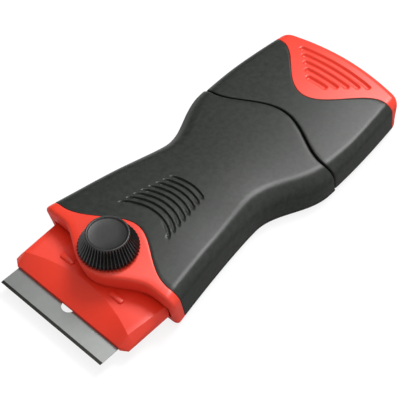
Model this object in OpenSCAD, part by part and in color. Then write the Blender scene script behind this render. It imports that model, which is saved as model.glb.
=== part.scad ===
// Razor blade scraper with an hourglass handle, a clamp knob, a blade carrier and a blade store.
// X runs from the rear end to the blade, Y runs across and Z is up from the underside.
// The middle of the overall length lies on the origin.

/* [Handle form] */
// Length from the rear end to the cutting edge
overall_len = 124.3; // [115:0.1:135]
// How far the rear corners stand out past the blade tray on each side
rear_out = 1.99; // [0.5:0.01:3]
// How far the shoulder, where the cap meets the handle, stands out past the tray on each side
shoulder_out = 5.09; // [4:0.01:7]
// Width at the waist
waist_w = 36.8; // [34:0.2:42]
// How far the yoke stands out past the carrier's head on each side
front_out = 3.7; // [2.6:0.1:6]
// Distance of the shoulder from the rear end
shoulder_from_rear = 38.2; // [36:0.2:42]
// Place of the waist, as a share of the way from the shoulder to the yoke's front edge
waist_share = 0.3885; // [0.34:0.0005:0.48]
// How the front flares: 1 is straight, 2 is a parabola
flare = 1.3; // [1.1:0.05:2]
// Height at the rear end
rear_h = 13.4; // [12.6:0.1:16]
// Height at the lowest point of the back
waist_h = 11.6; // [11.2:0.1:13]
// Height of the deck under the knob
deck_h = 14; // [13.4:0.1:16]
// Distance of the lowest point of the back from the rear end
low_from_rear = 52; // [46:0.5:58]
// Distance from the cutting edge to where the deck starts to be level
deck_from_edge = 34.3; // [28.3:0.5:40.3]
// How much the back is higher on its centre line than at its sides
crown = 0.8; // [0.2:0.1:1.2]
// Radius of the top edges
edge_r = 3.6; // [2.5:0.1:4.5]
// Radius of the top edges at the lowest point of the back
waist_edge_r = 6; // [4:0.1:7]
// Length over which that radius fades on each side
waist_fade = 30; // [20:1:36]
// Radius of the bottom edges
base_edge_r = 1.8; // [1.7:0.1:2]
// Radius of the rear end seen from above
rear_bow_r = 82; // [60:1:120]
// Rounding around the rear end
rear_round_r = 2.6; // [1.5:0.1:3]

/* [Seams] */
// Height of the seam between the upper housing and the base
seam_z = 2.2; // [2:0.1:2.4]
// Distance of the cap's parting line from the rear end, at the sides
parting_from_rear = 39.2; // [37:0.1:42]
// Depth of the parting line's wave towards the rear
parting_depth = 7.9; // [4:0.1:9]
// Half width of that wave
parting_half = 22; // [16:0.5:24]
// Open gap at the parting line
parting_gap = 0.5; // [0.3:0.05:0.6]
// How much narrower the cap is than the handle, on each side
cap_step = 0.4; // [0.1:0.05:0.5]
// Distance of the yoke's rear seam from the cutting edge, at the sides
yoke_from_edge = 24; // [23.3:0.1:26.3]
// Depth of that seam's wave towards the rear
yoke_depth = 9.1; // [5:0.1:11]
// Half width of that wave
yoke_half = 20; // [15:0.5:22]
// Distance of the yoke's front edge from the cutting edge, at the sides
nose_from_edge = 20.8; // [19.8:0.1:21.8]
// How far the front edge bulges round the knob
nose_bulge = 6.8; // [5:0.1:7.6]
// Half width of that bulge
nose_half = 17; // [14:0.5:19]
// How much lower the yoke is at its front edge
nose_drop = 2.8; // [1.5:0.1:3]
// Length over which the yoke slopes down to its front edge
nose_slope_len = 9; // [6:0.5:12]
// Rounding of the front edge
nose_round_r = 1.5; // [1:0.1:1.6]
// Distance of the end tab's seam from the rear end, at the sides
tab_from_rear = 8.2; // [7:0.1:10]
// Reach of the end tab's lobe towards the front
tab_reach = 13.7; // [8:0.1:15]
// Half width of that lobe
tab_half = 20; // [14:0.5:21]
// How far the seams lean back per unit of height
seam_lean = 0.22; // [0:0.02:0.3]

/* [Shells] */
// Thickness of the soft skin
skin_t = 1.4; // [1:0.1:1.6]
// Thickness of the soft skin under the base
base_skin_t = 0.9; // [0.7:0.1:1]
// Thickness of the housing wall inside the skin
wall_t = 1.4; // [1.2:0.1:1.8]
// Gap between pieces that slide past each other
slide_gap = 0.3; // [0.25:0.05:0.4]
// Number of arc grooves in the grip
groove_count = 8; // [3:1:8]
// Width of an arc groove
groove_w = 0.75; // [0.5:0.05:1]
// Depth of an arc groove
groove_deep = 0.6; // [0.3:0.05:0.9]
// Pitch of the arc grooves
groove_pitch = 2.1; // [1.8:0.1:2.6]
// Distance of the first arc groove from the knob's axis
groove_first_r = 16; // [14:0.5:18]
// Half length of the first arc groove across the handle
groove_first_half = 9.4; // [7:0.1:11]
// Half length of the last arc groove across the handle
groove_last_half = 6; // [4:0.1:7]
// Number of finger slots in the end tab
tab_slot_count = 5; // [2:1:5]
// Pitch of the finger slots
tab_slot_pitch = 2.4; // [1.8:0.1:2.6]
// Width of a finger slot
tab_slot_w = 1; // [0.6:0.1:1.2]
// Depth of a finger slot
tab_slot_deep = 0.7; // [0.3:0.1:1]
// Distance of the first finger slot from the rear end
tab_slot_first = 5.4; // [4.5:0.1:6.5]
// Half length of the longest finger slot
tab_slot_long = 13.5; // [10:0.5:15]
// Half length of the shortest finger slot
tab_slot_short = 4; // [2:0.5:6]

/* [Knob] */
// Distance of the knob's axis from the cutting edge
knob_from_edge = 22.5; // [22:0.1:24]
// Diameter at the foot of the knob
knob_foot_d = 16.4; // [14:0.1:17.6]
// Diameter at the top of the knob
knob_top_d = 11.8; // [10:0.1:13]
// Height of the knob
knob_h = 6; // [5:0.1:8]
// Number of serrations
knob_teeth = 48; // [24:1:60]
// Depth of a serration
knob_tooth_deep = 0.45; // [0.2:0.05:0.6]
// Width of the raised rim round the top face
knob_rim_w = 0.9; // [0.5:0.1:1.5]
// Depth of the top face inside its rim
knob_dish = 0.35; // [0.2:0.05:0.8]
// Gap between the knob and the deck
knob_lift = 0.3; // [0.2:0.05:0.5]
// Diameter of the threaded stud
stud_d = 5; // [4:0.1:5.4]
// Width across the flats of the stud's head
stud_head_af = 8; // [7:0.1:8.6]
// Height of the stud's head
stud_head_h = 3; // [2:0.1:3.4]
// Radial running gap of the stud
stud_gap = 0.06; // [0.03:0.01:0.1]
// Diameter of the knob washer
washer_d = 10; // [9:0.1:11]
// Thickness of the knob washer
washer_t = 0.8; // [0.5:0.1:1]
// Diameter of the retaining ring
ring_d = 9; // [8:0.1:10]
// Thickness of the retaining ring
ring_t = 0.6; // [0.4:0.1:0.8]
// Depth of the retaining ring's groove in the stud
ring_groove_deep = 0.6; // [0.4:0.05:0.8]

/* [Clamp] */
// Length of the clamp plate
clamp_len = 15; // [12:0.5:16]
// Width of the clamp plate
clamp_w = 18; // [14:0.5:20]
// Thickness of the clamp plate
clamp_t = 1; // [0.8:0.1:1]
// Width of the square clamp nut
nut_w = 7.4; // [7:0.1:8]
// Gap left under the tail when the clamp is tight
clamp_gap = 0.1; // [0.05:0.05:0.2]
// How far the nut stands above the plate, inside the carrier's slot
nut_neck = 1; // [0.6:0.1:1.4]

/* [Blade] */
// Length of the cutting edge
blade_w = 38.1; // [37:0.1:38.4]
// Depth of the blade from edge to back
blade_len = 19.05; // [18:0.05:19.4]
// Thickness of the blade
blade_t = 0.23; // [0.2:0.01:0.3]
// Width of the ground bevel
bevel_w = 0.9; // [0.5:0.1:1.2]
// Thickness left at the cutting edge
edge_t = 0.04; // [0.02:0.01:0.08]
// Diameter of the hole in the blade
blade_hole_d = 4.2; // [3:0.1:5]
// Distance of that hole from the cutting edge
blade_hole_from_edge = 7.1; // [6.5:0.1:8]
// Number of spare blades
spare_count = 5; // [1:1:6]

/* [Carrier] */
// Length of blade that shows in front of the lip
blade_show = 6.5; // [6:0.1:7]
// How far the carrier's head stands out past the blade on each side
carrier_side = 1.85; // [1.45:0.05:1.95]
// Width of the slope on each side of the carrier's head, at the crease
carrier_cut = 1.5; // [1:0.1:2.4]
// Width of that slope at the back of the head
carrier_back_cut = 0.5; // [0.4:0.1:1]
// Height of the carrier's flat top
carrier_top_z = 7.3; // [7.2:0.1:7.8]
// Height of the carrier's underside
carrier_z = 2.5; // [2.45:0.05:2.7]
// Height of the lip's front above the blade
lip_h = 1; // [0.7:0.1:1.4]
// Distance from the lip to the crease of the top, on the centre line
crease_mid = 7.5; // [6:0.1:9]
// Distance from the lip to the crease of the top, at the corners
crease_side = 3.1; // [2:0.1:5]
// Thickness of the lower jaw
lower_jaw_t = 1; // [0.9:0.05:1.1]
// How far the lower jaw stops behind the lip
lower_jaw_back = 2; // [1.6:0.1:2.6]
// Gap between the carrier's tail and the front screw posts
tail_gap = 1.2; // [0.6:0.1:2]
// Length of the two ears behind the head that hold the lower jaw
ear_len = 4.5; // [4:0.1:5]
// Width across the ears
ear_w = 34; // [32:0.5:36]
// Width of the space between the ears
ear_gap_w = 20; // [19:0.5:21]
// Distance of the tail's end from the cutting edge
tail_from_edge = 50; // [46:0.5:50.5]
// Height of the tail's underside
tail_z = 5.6; // [5.5:0.1:5.9]
// Distance between the two grip ribs' middles
rib_spacing = 19.4; // [16:0.2:22]
// Length of a grip rib
rib_len = 4; // [3:0.1:5]
// Width of a grip rib
rib_w = 1; // [0.8:0.1:1.4]
// Height of a grip rib
rib_h = 0.5; // [0.3:0.05:0.6]
// Distance of the grip ribs from the cutting edge
rib_from_edge = 14.8; // [14.6:0.1:15]

/* [Blade store] */
// Distance of the tray's nose from the rear end
tray_nose_from_rear = 44; // [42:0.5:46]
// Distance of the tray's back from the rear end
tray_back_from_rear = 16; // [15:0.5:18]
// Thickness of the tray's floor and walls
tray_t = 1.2; // [1:0.1:1.2]
// Height of the tray's side walls
tray_wall_h = 4; // [3:0.1:4.5]
// Width of the tongue on the tray's nose
tongue_w = 10; // [8:0.5:12]
// Thickness of the leaf springs
leaf_t = 0.3; // [0.2:0.05:0.4]

/* [Fasteners] */
// Diameter of a housing screw's thread
screw_d = 2.2; // [2:0.1:2.5]
// Diameter of a housing screw's head
screw_head_d = 4; // [3.4:0.1:4.4]
// Height of a housing screw's head
screw_head_h = 1; // [0.8:0.05:1]
// Depth of a housing screw's thread in the upper housing
screw_bite = 5; // [3:0.1:5.5]
// Diameter of a screw post
post_d = 4.6; // [4.2:0.1:5]
// Distance of the front screws from the cutting edge
front_screw_from_edge = 35.8; // [34.3:0.5:37.3]
// Distance of the front screws from the side of the handle
front_screw_inset = 5.15; // [4.75:0.05:5.6]
// Distance of the rear screws from the rear end
rear_screw_from_rear = 50.5; // [50:0.5:54]
// Distance of the rear screws from the side of the handle
rear_screw_inset = 6.39; // [5.9:0.01:7.4]
// Diameter of a small screw in the jaws and the tray
small_screw_d = 1.8; // [1.5:0.1:2]
// Diameter of a small screw's head
small_head_d = 3.2; // [2.8:0.1:3.4]
// Height of a small screw's head
small_head_h = 0.6; // [0.5:0.05:0.6]

/* [Hidden] */

// Colours
red = "#d8352a";
soft_black = "#2b2d2b";
hard_black = "#1d1e1d";
steel = "#a6abab";

// Places along X
rear_x = -overall_len / 2;
edge_x = overall_len / 2;
shoulder_x = rear_x + shoulder_from_rear;
front_x = edge_x - nose_from_edge;
waist_x = shoulder_x + (front_x - shoulder_x) * waist_share;
low_x = rear_x + low_from_rear;
deck_x = edge_x - deck_from_edge;
parting_x = rear_x + parting_from_rear;
yoke_x = edge_x - yoke_from_edge;
tab_x = rear_x + tab_from_rear;
knob_x = edge_x - knob_from_edge;
lip_x = edge_x - blade_show;
blade_back_x = edge_x - blade_len;
tail_x = edge_x - tail_from_edge;
head_back_x = yoke_x + wall_t;
ear_back_x = head_back_x - ear_len;
tray_nose_x = rear_x + tray_nose_from_rear;
tray_back_x = rear_x + tray_back_from_rear;
slot_w = nut_w + 2 * slide_gap;
slot_end_x = knob_x + nut_w / 2 + slide_gap;
clamp_front_x = knob_x + nut_w / 2 + clamp_t;
jaw_screw_x = head_back_x - ear_len / 2;
front_screw_x = edge_x - front_screw_from_edge;
rear_screw_x = rear_x + rear_screw_from_rear;
tongue_len = (tail_x - tray_nose_x) / 3;

// Widths and places across
tray_w = blade_w + 2 * (tray_t + stud_gap);
carrier_w = blade_w + 2 * carrier_side;
carrier_top_w = carrier_w - 2 * carrier_cut;
carrier_back_w = carrier_w - 2 * carrier_back_cut;
rear_w = tray_w + 2 * rear_out;
shoulder_w = tray_w + 2 * shoulder_out;
front_w = carrier_w + 2 * front_out;
ear_y = (ear_w + ear_gap_w) / 4;

// Heights
ceiling_z = carrier_top_z + slide_gap;
jaw_face_z = carrier_z + lower_jaw_t;
knob_z = deck_h + knob_lift;
washer_z = deck_h - washer_t;
ring_z = ceiling_z + washer_t;
stud_end_z = jaw_face_z + slide_gap;
clamp_z = tail_z - clamp_gap - clamp_t;
tray_z = seam_z + slide_gap;
tray_floor_z = tray_z + tray_t;

// Overrun of every cut, a hair gap between stacked parts, and facet counts
over = wall_t / 2;
hair = blade_t / 8;
store_edge_x = tray_nose_x - tray_t - hair;
store_back_x = store_edge_x - blade_len - hair;
fine = 64;
coarse = 32;
arc_steps = 4;
top_steps = 10;
round_steps = 3;

// Bell curve from 1 at the centre line to 0 at its half width
function wave(y, half) = abs(y) < half ? (1 + cos(180 * y / half)) / 2 : 0;
function mix(a, b, u) = a + (b - a) * u;

// Half width of the handle seen from above
function half_w(x) =
    x < shoulder_x ?
        mix(rear_w, shoulder_w, sin(90 * max(0, (x - rear_x) / shoulder_from_rear))) / 2 :
    x < waist_x ?
        mix(waist_w, shoulder_w, wave(x - shoulder_x, waist_x - shoulder_x)) / 2 :
        mix(waist_w, front_w, pow((x - waist_x) / (front_x - waist_x), flare)) / 2;

front_screw_y = half_w(front_screw_x) - front_screw_inset;
rear_screw_y = half_w(rear_screw_x) - rear_screw_inset;
tail_w = 2 * (front_screw_y - post_d / 2 - tail_gap);

// Height of the back on the centre line
function crest(x) =
    x < low_x ? mix(waist_h, rear_h, wave(x - rear_x, low_from_rear)) :
    x < deck_x ? mix(deck_h, waist_h, wave(x - low_x, deck_x - low_x)) : deck_h;

// Radius of the top edge
function edge_radius(x) = mix(edge_r, waist_edge_r, wave(x - low_x, waist_fade));

// Seams as seen from above
function parting_line(y) = parting_x - parting_depth * wave(y, parting_half);
function yoke_line(y) = yoke_x - yoke_depth * wave(y, yoke_half);
function nose_line(y) = front_x + nose_bulge * wave(y, nose_half);
function tab_line(y) = tab_x + tab_reach * wave(y, tab_half);
function rear_line(y) = rear_x + y * y / (2 * rear_bow_r);

// How far the yoke has sloped down at a point
function slope_down(x, y) =
    let (d = min(1, max(0, (nose_line(y) - x) / nose_slope_len))) nose_drop * pow(1 - d, 2);

function top_z(x, y) = crest(x) - crown * pow(y / half_w(x), 2) - slope_down(x, y);

// One section of the upper part at x, set in by e, from the left seam over the back to the right seam
function arch(x, e) =
    let (w = half_w(x), r = edge_radius(x), s = w - r, c = top_z(x, s) - r)
    concat(
        [[x, e - w, seam_z]],
        [for (i = [0 : arc_steps]) let (a = 180 - 90 * i / arc_steps)
            [x, (r - e) * cos(a) - s, c + (r - e) * sin(a)]],
        [for (i = [1 : top_steps - 1]) let (y = mix(-s, s, i / top_steps)) [x, y, top_z(x, y) - e]],
        [for (i = [0 : arc_steps]) let (a = 90 - 90 * i / arc_steps)
            [x, (r - e) * cos(a) + s, c + (r - e) * sin(a)]],
        [[x, w - e, seam_z]]);

// One section of the lower part, from the left seam under the base to the right seam
function keel(x, e) =
    let (w = half_w(x), r = base_edge_r, s = w - r)
    concat(
        [[x, e - w, seam_z]],
        [for (i = [0 : arc_steps]) let (a = 180 + 90 * i / arc_steps)
            [x, (r - e) * cos(a) - s, r + (r - e) * sin(a)]],
        [for (i = [1 : top_steps - 1]) [x, mix(-s, s, i / top_steps), e]],
        [for (i = [0 : arc_steps]) let (a = 270 + 90 * i / arc_steps)
            [x, (r - e) * cos(a) + s, r + (r - e) * sin(a)]],
        [[x, w - e, seam_z]]);

// One closed section of the cap
function hoop(x, e) =
    let (top = arch(x, e + cap_step), low = keel(x, e * base_skin_t / skin_t + cap_step))
    concat([for (i = [1 : len(top) - 2]) top[i]], [for (i = [len(low) - 2 : -1 : 1]) low[i]]);

function section(kind, x, e) = kind == "arch" ? arch(x, e) : kind == "keel" ? keel(x, e) : hoop(x, e);

// Where along X a named seam lies at y, before it leans
function seam_at(seam, y) =
    seam == "parting" ? parting_line(y) : seam == "yoke" ? yoke_line(y) :
    seam == "nose" ? nose_line(y) : seam == "tab" ? tab_line(y) :
    seam == "rear" ? rear_line(y) : seam == "sill" ? front_x : yoke_x;

function seam_nominal(seam) =
    seam == "parting" ? parting_x : seam == "tab" ? tab_x : seam == "rear" ? rear_x :
    seam == "yoke" ? yoke_x : front_x;

function seam_row(kind, seam, e) =
    let (lean = seam == "rear" ? 0 : seam_lean)
    [for (p = section(kind, seam_nominal(seam), e)) seam_at(seam, p[1]) - lean * (deck_h - p[2])];

// A ring of points between two seams, u of the way from the first to the second, narrowed on each side
function ring(kind, seam_a, seam_b, u, e, shift = 0, narrow = 0) =
    let (a = seam_row(kind, seam_a, e), b = seam_row(kind, seam_b, e))
    [for (j = [0 : len(a) - 1])
        let (p = section(kind, mix(a[j], b[j], u) + shift, e)[j])
        [p[0], p[1] * (1 - narrow / half_w(p[0])), p[2]]];

function rings(kind, seam_a, seam_b, steps, e) =
    [for (i = [0 : steps]) ring(kind, seam_a, seam_b, i / steps, e)];

// Triangles of a strip between point lists a and b, without the ones that have no area
function strip(a, b) =
    [for (j = [0 : len(a) - 2]) each [[a[j], b[j + 1], a[j + 1]], [a[j], b[j], b[j + 1]]]];
function proper(faces) = [for (f = faces) if (f[0] != f[1] && f[1] != f[2] && f[0] != f[2]) f];
function flip(faces) = [for (f = faces) [f[2], f[1], f[0]]];

// Index rows of a stack of m rings with n points each, starting at index k and closed on themselves
function rows_of(m, n, k = 0) = [for (i = [0 : m - 1]) [for (j = [0 : n]) k + i * n + j % n]];

// A sheet with an outer and an inner face, both grids of points with open sides
module sheet(outer, inner) {
    m = len(outer);
    n = len(outer[0]);
    oi = [for (i = [0 : m - 1]) [for (j = [0 : n - 1]) i * n + j]];
    ii = [for (r = oi) [for (k = r) k + m * n]];
    polyhedron(points = concat([for (r = outer) each r], [for (r = inner) each r]), faces = concat(
        [for (i = [0 : m - 2]) each flip(strip(oi[i], oi[i + 1]))],
        [for (i = [0 : m - 2]) each strip(ii[i], ii[i + 1])],
        flip(strip(ii[0], oi[0])),
        flip(strip(oi[m - 1], ii[m - 1])),
        flip(strip([for (r = oi) r[0]], [for (r = ii) r[0]])),
        strip([for (r = oi) r[n - 1]], [for (r = ii) r[n - 1]])));
}

// Triangles from point c to each stretch of the list row
function fan(c, row) = [for (j = [0 : len(row) - 2]) [c, row[j], row[j + 1]]];

// A solid over a grid of points that is its underside, with one flat face at the height of the seam.
// The first and last points of each row lie on that face, and so do the feet of the two end rows.
// The flat face is drawn from two points of the centre line, before and behind the waist.
module loft(rows, rear_feet, front_feet) {
    m = len(rows);
    n = len(rows[0]);
    k = floor(m / 3);
    ends = [rows[0][0][0], rows[m - 1][0][0]];
    centres = [for (x = ends) [(x + rows[k][0][0]) / 2, 0, seam_z]];
    a = m * n + 2 * n;
    b = a + 1;
    id = [for (i = [0 : m - 1]) [for (j = [0 : n - 1]) i * n + j]];
    rear = [for (j = [0 : n - 1]) j <= 1 ? id[0][0] : j >= n - 2 ? id[0][n - 1] : m * n + j];
    front = [for (j = [0 : n - 1]) j <= 1 ? id[m - 1][0] : j >= n - 2 ? id[m - 1][n - 1] : m * n + n + j];
    front_rim = concat([for (i = [k : m - 2]) id[i][0]], [for (j = [1 : n - 2]) front[j]],
        [for (i = [m - 2 : -1 : k]) id[i][n - 1]]);
    rear_rim = concat([for (i = [k : -1 : 1]) id[i][n - 1]], [for (j = [n - 2 : -1 : 1]) rear[j]],
        [for (i = [1 : k]) id[i][0]]);
    points = concat([for (r = rows) each r], rear_feet, front_feet, centres);
    polyhedron(points = points, faces = proper(concat(
        [for (i = [0 : m - 2]) each strip(id[i], id[i + 1])],
        strip(rear, id[0]),
        strip(id[m - 1], front),
        flip(fan(b, front_rim)), flip(fan(a, rear_rim)),
        [[b, id[k][0], a], [id[k][n - 1], b, a]])));
}

// Inset and setback of a quarter-round edge of radius r, at step i
function round_in(r, i) = r * (1 - cos(90 * i / round_steps));
function round_back(r, i) = r * (1 - sin(90 * i / round_steps));

grip_steps = 15;
yoke_steps = 4;
cap_steps = 6;

yoke_rings = concat(
    [for (i = [0 : yoke_steps]) let (u = i / yoke_steps)
        ring("arch", "yoke", "nose", u, 0, -nose_round_r * u)],
    [for (i = [1 : round_steps])
        ring("arch", "yoke", "nose", 1, round_in(nose_round_r, i), -round_back(nose_round_r, i))]);
core_rings = rings("arch", "parting", "yoke", grip_steps, skin_t);

module post(x, y, d, z0, z1) translate([x, y, z0]) cylinder(h = z1 - z0, d = d, $fn = coarse);
module pair(y) for (side = [-1, 1]) translate([0, side * y, 0]) children();
module block(x0, x1, w, z0, z1) translate([x0, -w / 2, z0]) cube([x1 - x0, w, z1 - z0]);
module screw_places() {
    translate([front_screw_x, 0, 0]) pair(front_screw_y) children();
    translate([rear_screw_x, 0, 0]) pair(rear_screw_y) children();
}

// One section of the room inside the handle, under a row of the shell that lies u of the way
// from one seam to the next: up the left wall, across under the ceiling and down the right wall
function room_row(row, seam_a, seam_b, u, shift) =
    let (n = len(row),
        w = half_w(mix(seam_nominal(seam_a), seam_nominal(seam_b), u) + shift) - skin_t - wall_t)
    [for (j = [0 : n - 1])
        let (y = row[j][1] * w / row[n - 1][1], z = j > 0 && j < n - 1 ? ceiling_z : seam_z)
        [mix(seam_at(seam_a, y), seam_at(seam_b, y), u) + shift - seam_lean * (deck_h - z), y, z]];

room_rows = concat(
    [for (i = [0 : grip_steps]) let (u = i / grip_steps)
        room_row(core_rings[i], "parting", "yoke", u, -wall_t * u)],
    [for (i = [0 : yoke_steps]) let (u = i / yoke_steps)
        room_row(yoke_rings[i], "yoke", "nose", u, mix(wall_t / 4, -nose_round_r, u))],
    [for (i = [1 : round_steps])
        room_row(yoke_rings[yoke_steps + i], "yoke", "nose", 1, -round_back(nose_round_r, i))]);

module upper_housing() color(red) difference() {
    union() {
        sheet(concat(core_rings, yoke_rings), room_rows);
        screw_places() post(0, 0, post_d, seam_z, ceiling_z + over);
    }
    screw_places() post(0, 0, screw_d, seam_z - over, seam_z + screw_bite);
    post(knob_x, 0, stud_d + 2 * stud_gap, seam_z, knob_z + knob_h);
    post(knob_x, 0, washer_d + 2 * slide_gap, washer_z, knob_z + knob_h);
    post(knob_x, 0, ring_d + 2 * slide_gap, ceiling_z - over, ring_z + ring_t + slide_gap);
}

// One arc groove, centred on the knob's axis, cut to its depth under the crest of the back
module arc_groove(i) {
    r = groove_first_r + i * groove_pitch;
    half = mix(groove_first_half, groove_last_half, groove_count > 1 ? i / (groove_count - 1) : 0);
    reach = asin(half / r);
    translate([knob_x, 0, top_z(knob_x - r, 0) - groove_deep])
        rotate([0, 0, 180 - reach])
            rotate_extrude(angle = 2 * reach, $fn = 2 * fine)
                translate([r - groove_w / 2, 0]) square([groove_w, groove_deep + crown + edge_r]);
}

module upper_grip() color(soft_black) difference() {
    sheet(rings("arch", "parting", "yoke", grip_steps, 0), core_rings);
    for (i = [0 : groove_count - 1]) arc_groove(i);
}

// Points above a row at the height of the seam, along the lean
function lid(row) = [for (p = row) [p[0] + seam_lean * (seam_z - p[2]), p[1], seam_z]];

module base() color(red) {
    rows = concat(rings("keel", "parting", "yoke", grip_steps, base_skin_t),
        [for (i = [0 : yoke_steps]) let (u = i / yoke_steps)
            ring("keel", "yoke", "sill", u, 0, -nose_round_r * u)],
        [for (i = [1 : round_steps]) ring("keel", "yoke", "sill", 1, 0,
            -round_back(nose_round_r, i), round_in(nose_round_r, i))]);
    difference() {
        loft(rows, lid(rows[0]), lid(rows[len(rows) - 1]));
        screw_places() post(0, 0, screw_d + 2 * stud_gap, -over, seam_z + over);
        screw_places() post(0, 0, screw_head_d + 2 * stud_gap, -over, screw_head_h + hair);
    }
}

module base_grip() color(soft_black) difference() {
    sheet(rings("keel", "parting", "yoke", grip_steps, base_skin_t),
        rings("keel", "parting", "yoke", grip_steps, 0));
    screw_places() post(0, 0, screw_head_d + 2 * slide_gap, -over, seam_z);
}

// A pan-head screw with a cross recess, head down
module screw(d, head_d, head_h, z0, z1) {
    cross_w = d / 3;
    difference() {
        union() {
            post(0, 0, head_d, z0, z0 + head_h);
            post(0, 0, d, z0 + head_h, z1);
        }
        for (a = [0, 90]) rotate([0, 0, a])
            translate([-head_d / 3, -cross_w / 2, z0 - over])
                cube([2 * head_d / 3, cross_w, over + head_h / 2]);
    }
}

module housing_screws() color(steel)
    screw_places() screw(screw_d, screw_head_d, screw_head_h, hair, seam_z + screw_bite - hair);

// Toothed section of the knob at radius r and height z
function toothed(r, deep, z) = [for (i = [0 : 2 * knob_teeth - 1]) let (a = 180 * i / knob_teeth)
    [(i % 2 == 0 ? r : r - deep) * cos(a), (i % 2 == 0 ? r : r - deep) * sin(a), z]];

// Closed stack of level rings round the Z axis, each with as many points as the next
module stack(levels) {
    m = len(levels);
    n = len(levels[0]);
    id = rows_of(m, n);
    centres = [[0, 0, levels[0][0][2]], [0, 0, levels[m - 1][0][2]]];
    polyhedron(points = concat([for (l = levels) each l], centres), faces = concat(
        fan(m * n, id[0]),
        [for (i = [0 : m - 2]) each strip(id[i], id[i + 1])],
        flip(fan(m * n + 1, id[m - 1]))));
}

// Hexagonal head of the stud, or its socket in the knob, with its corners between two serrations
module stud_head(z0, z1) translate([knob_x, 0, z0]) rotate([0, 0, 90 / knob_teeth])
    cylinder(h = z1 - z0, d = stud_head_af / cos(30), $fn = 6);

module knob() color(hard_black) {
    foot_r = knob_foot_d / 2;
    top_r = knob_top_d / 2;
    skirt_h = knob_h / 8;
    brow_h = knob_rim_w / 2;
    difference() {
        translate([knob_x, 0, knob_z]) stack([
            toothed(foot_r - knob_tooth_deep / 2, knob_tooth_deep, 0),
            toothed(foot_r, knob_tooth_deep, skirt_h),
            toothed(top_r + knob_tooth_deep / 2, knob_tooth_deep, knob_h - brow_h),
            toothed(top_r - brow_h / 2, 0, knob_h)]);
        post(knob_x, 0, 2 * (top_r - knob_rim_w), knob_z + knob_h - knob_dish, knob_z + 2 * knob_h);
        stud_head(knob_z - over, knob_z + stud_head_h);
    }
}

module knob_stud() color(steel) difference() {
    union() {
        stud_head(knob_z, knob_z + stud_head_h);
        post(knob_x, 0, stud_d, stud_end_z, knob_z + stud_head_h / 2);
    }
    difference() {
        post(knob_x, 0, stud_d + over, ring_z - hair, ring_z + ring_t + hair);
        post(knob_x, 0, stud_d - 2 * ring_groove_deep, ring_z - over, ring_z + ring_t + over);
    }
}

module knob_washer() color(steel) difference() {
    post(knob_x, 0, washer_d, washer_z, deck_h);
    post(knob_x, 0, stud_d + 2 * stud_gap, washer_z - over, deck_h + over);
}

// Open retaining ring that snaps into the stud's groove from the side
module retaining_ring() color(steel) difference() {
    post(knob_x, 0, ring_d, ring_z, ring_z + ring_t);
    post(knob_x, 0, stud_d - 2 * ring_groove_deep + 2 * hair, ring_z - over, ring_z + ring_t + over);
    block(knob_x - ring_d, knob_x, 2 * stud_d / 3, ring_z - over, ring_z + ring_t + over);
}

module nut_square(w, z0, z1) block(knob_x - w / 2, knob_x + w / 2, w, z0, z1);

module clamp_plate() color(steel) difference() {
    block(clamp_front_x - clamp_len, clamp_front_x, clamp_w, clamp_z, clamp_z + clamp_t);
    nut_square(nut_w, clamp_z - over, clamp_z + clamp_t + over);
}

module clamp_nut() color(steel) difference() {
    nut_square(nut_w, clamp_z, clamp_z + clamp_t + nut_neck);
    post(knob_x, 0, stud_d + 2 * stud_gap, clamp_z - over, tail_z + nut_neck + over);
}

// Points of the carrier's head in one plane across Y: back, lip, crease and top, seen from the side
function crease_x(y) = lip_x - mix(crease_mid, crease_side, pow(2 * y / carrier_top_w, 2));
function head_row(y) =
    [[head_back_x, y, jaw_face_z], [lip_x, y, jaw_face_z], [lip_x, y, jaw_face_z + blade_t + lip_h],
        [crease_x(y), y, carrier_top_z],
        [head_back_x, y * carrier_back_w / carrier_top_w, carrier_top_z]];
function head_side(side) =
    let (y = side * carrier_w / 2, cut = (carrier_w - carrier_top_w) / 2, z = jaw_face_z + blade_t + lip_h)
    [[head_back_x, y, jaw_face_z], [lip_x - cut, y, jaw_face_z], [lip_x - cut, y, z - lip_h / 2],
        [lip_x - 2 * cut, y, z], [head_back_x, y, z + lip_h]];

module head() {
    n = top_steps;
    stack_across(concat([head_side(-1)],
        [for (i = [0 : n]) head_row(mix(-carrier_top_w, carrier_top_w, i / n) / 2)], [head_side(1)]));
}

// Closed loft through sections that follow each other along Y
module stack_across(rows) {
    m = len(rows);
    n = len(rows[0]);
    id = rows_of(m, n);
    polyhedron(points = [for (r = rows) each r], faces = concat(
        [[for (j = [n - 1 : -1 : 0]) id[0][j]]],
        [for (i = [0 : m - 2]) each flip(strip(id[i], id[i + 1]))],
        [[for (j = [0 : n - 1]) id[m - 1][j]]]));
}

module upper_jaw() color(red) {
    difference() {
        union() {
            head();
            block(tail_x, head_back_x + wall_t, tail_w, tail_z, carrier_top_z);
            difference() {
                block(ear_back_x, head_back_x + wall_t, ear_w, jaw_face_z, carrier_top_z);
                block(ear_back_x - over, head_back_x + 2 * wall_t, ear_gap_w, jaw_face_z - over, tail_z);
            }
            pair(rib_spacing / 2)
                translate([edge_x - rib_from_edge - rib_w / 2, -rib_len / 2, carrier_top_z - rib_h])
                    cube([rib_w, rib_len, 2 * rib_h]);
        }
        block(blade_back_x - stud_gap, edge_x, blade_w + 2 * stud_gap, jaw_face_z - over,
            jaw_face_z + blade_t + 2 * hair);
        block(head_back_x - over, clamp_front_x + slide_gap, ear_gap_w, jaw_face_z - over, tail_z);
        block(tail_x - over, slot_end_x, slot_w, tail_z - over, carrier_top_z + over);
        pair(ear_y) post(jaw_screw_x, 0, small_screw_d, jaw_face_z - over, carrier_top_z - wall_t / 2);
    }
}

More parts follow.
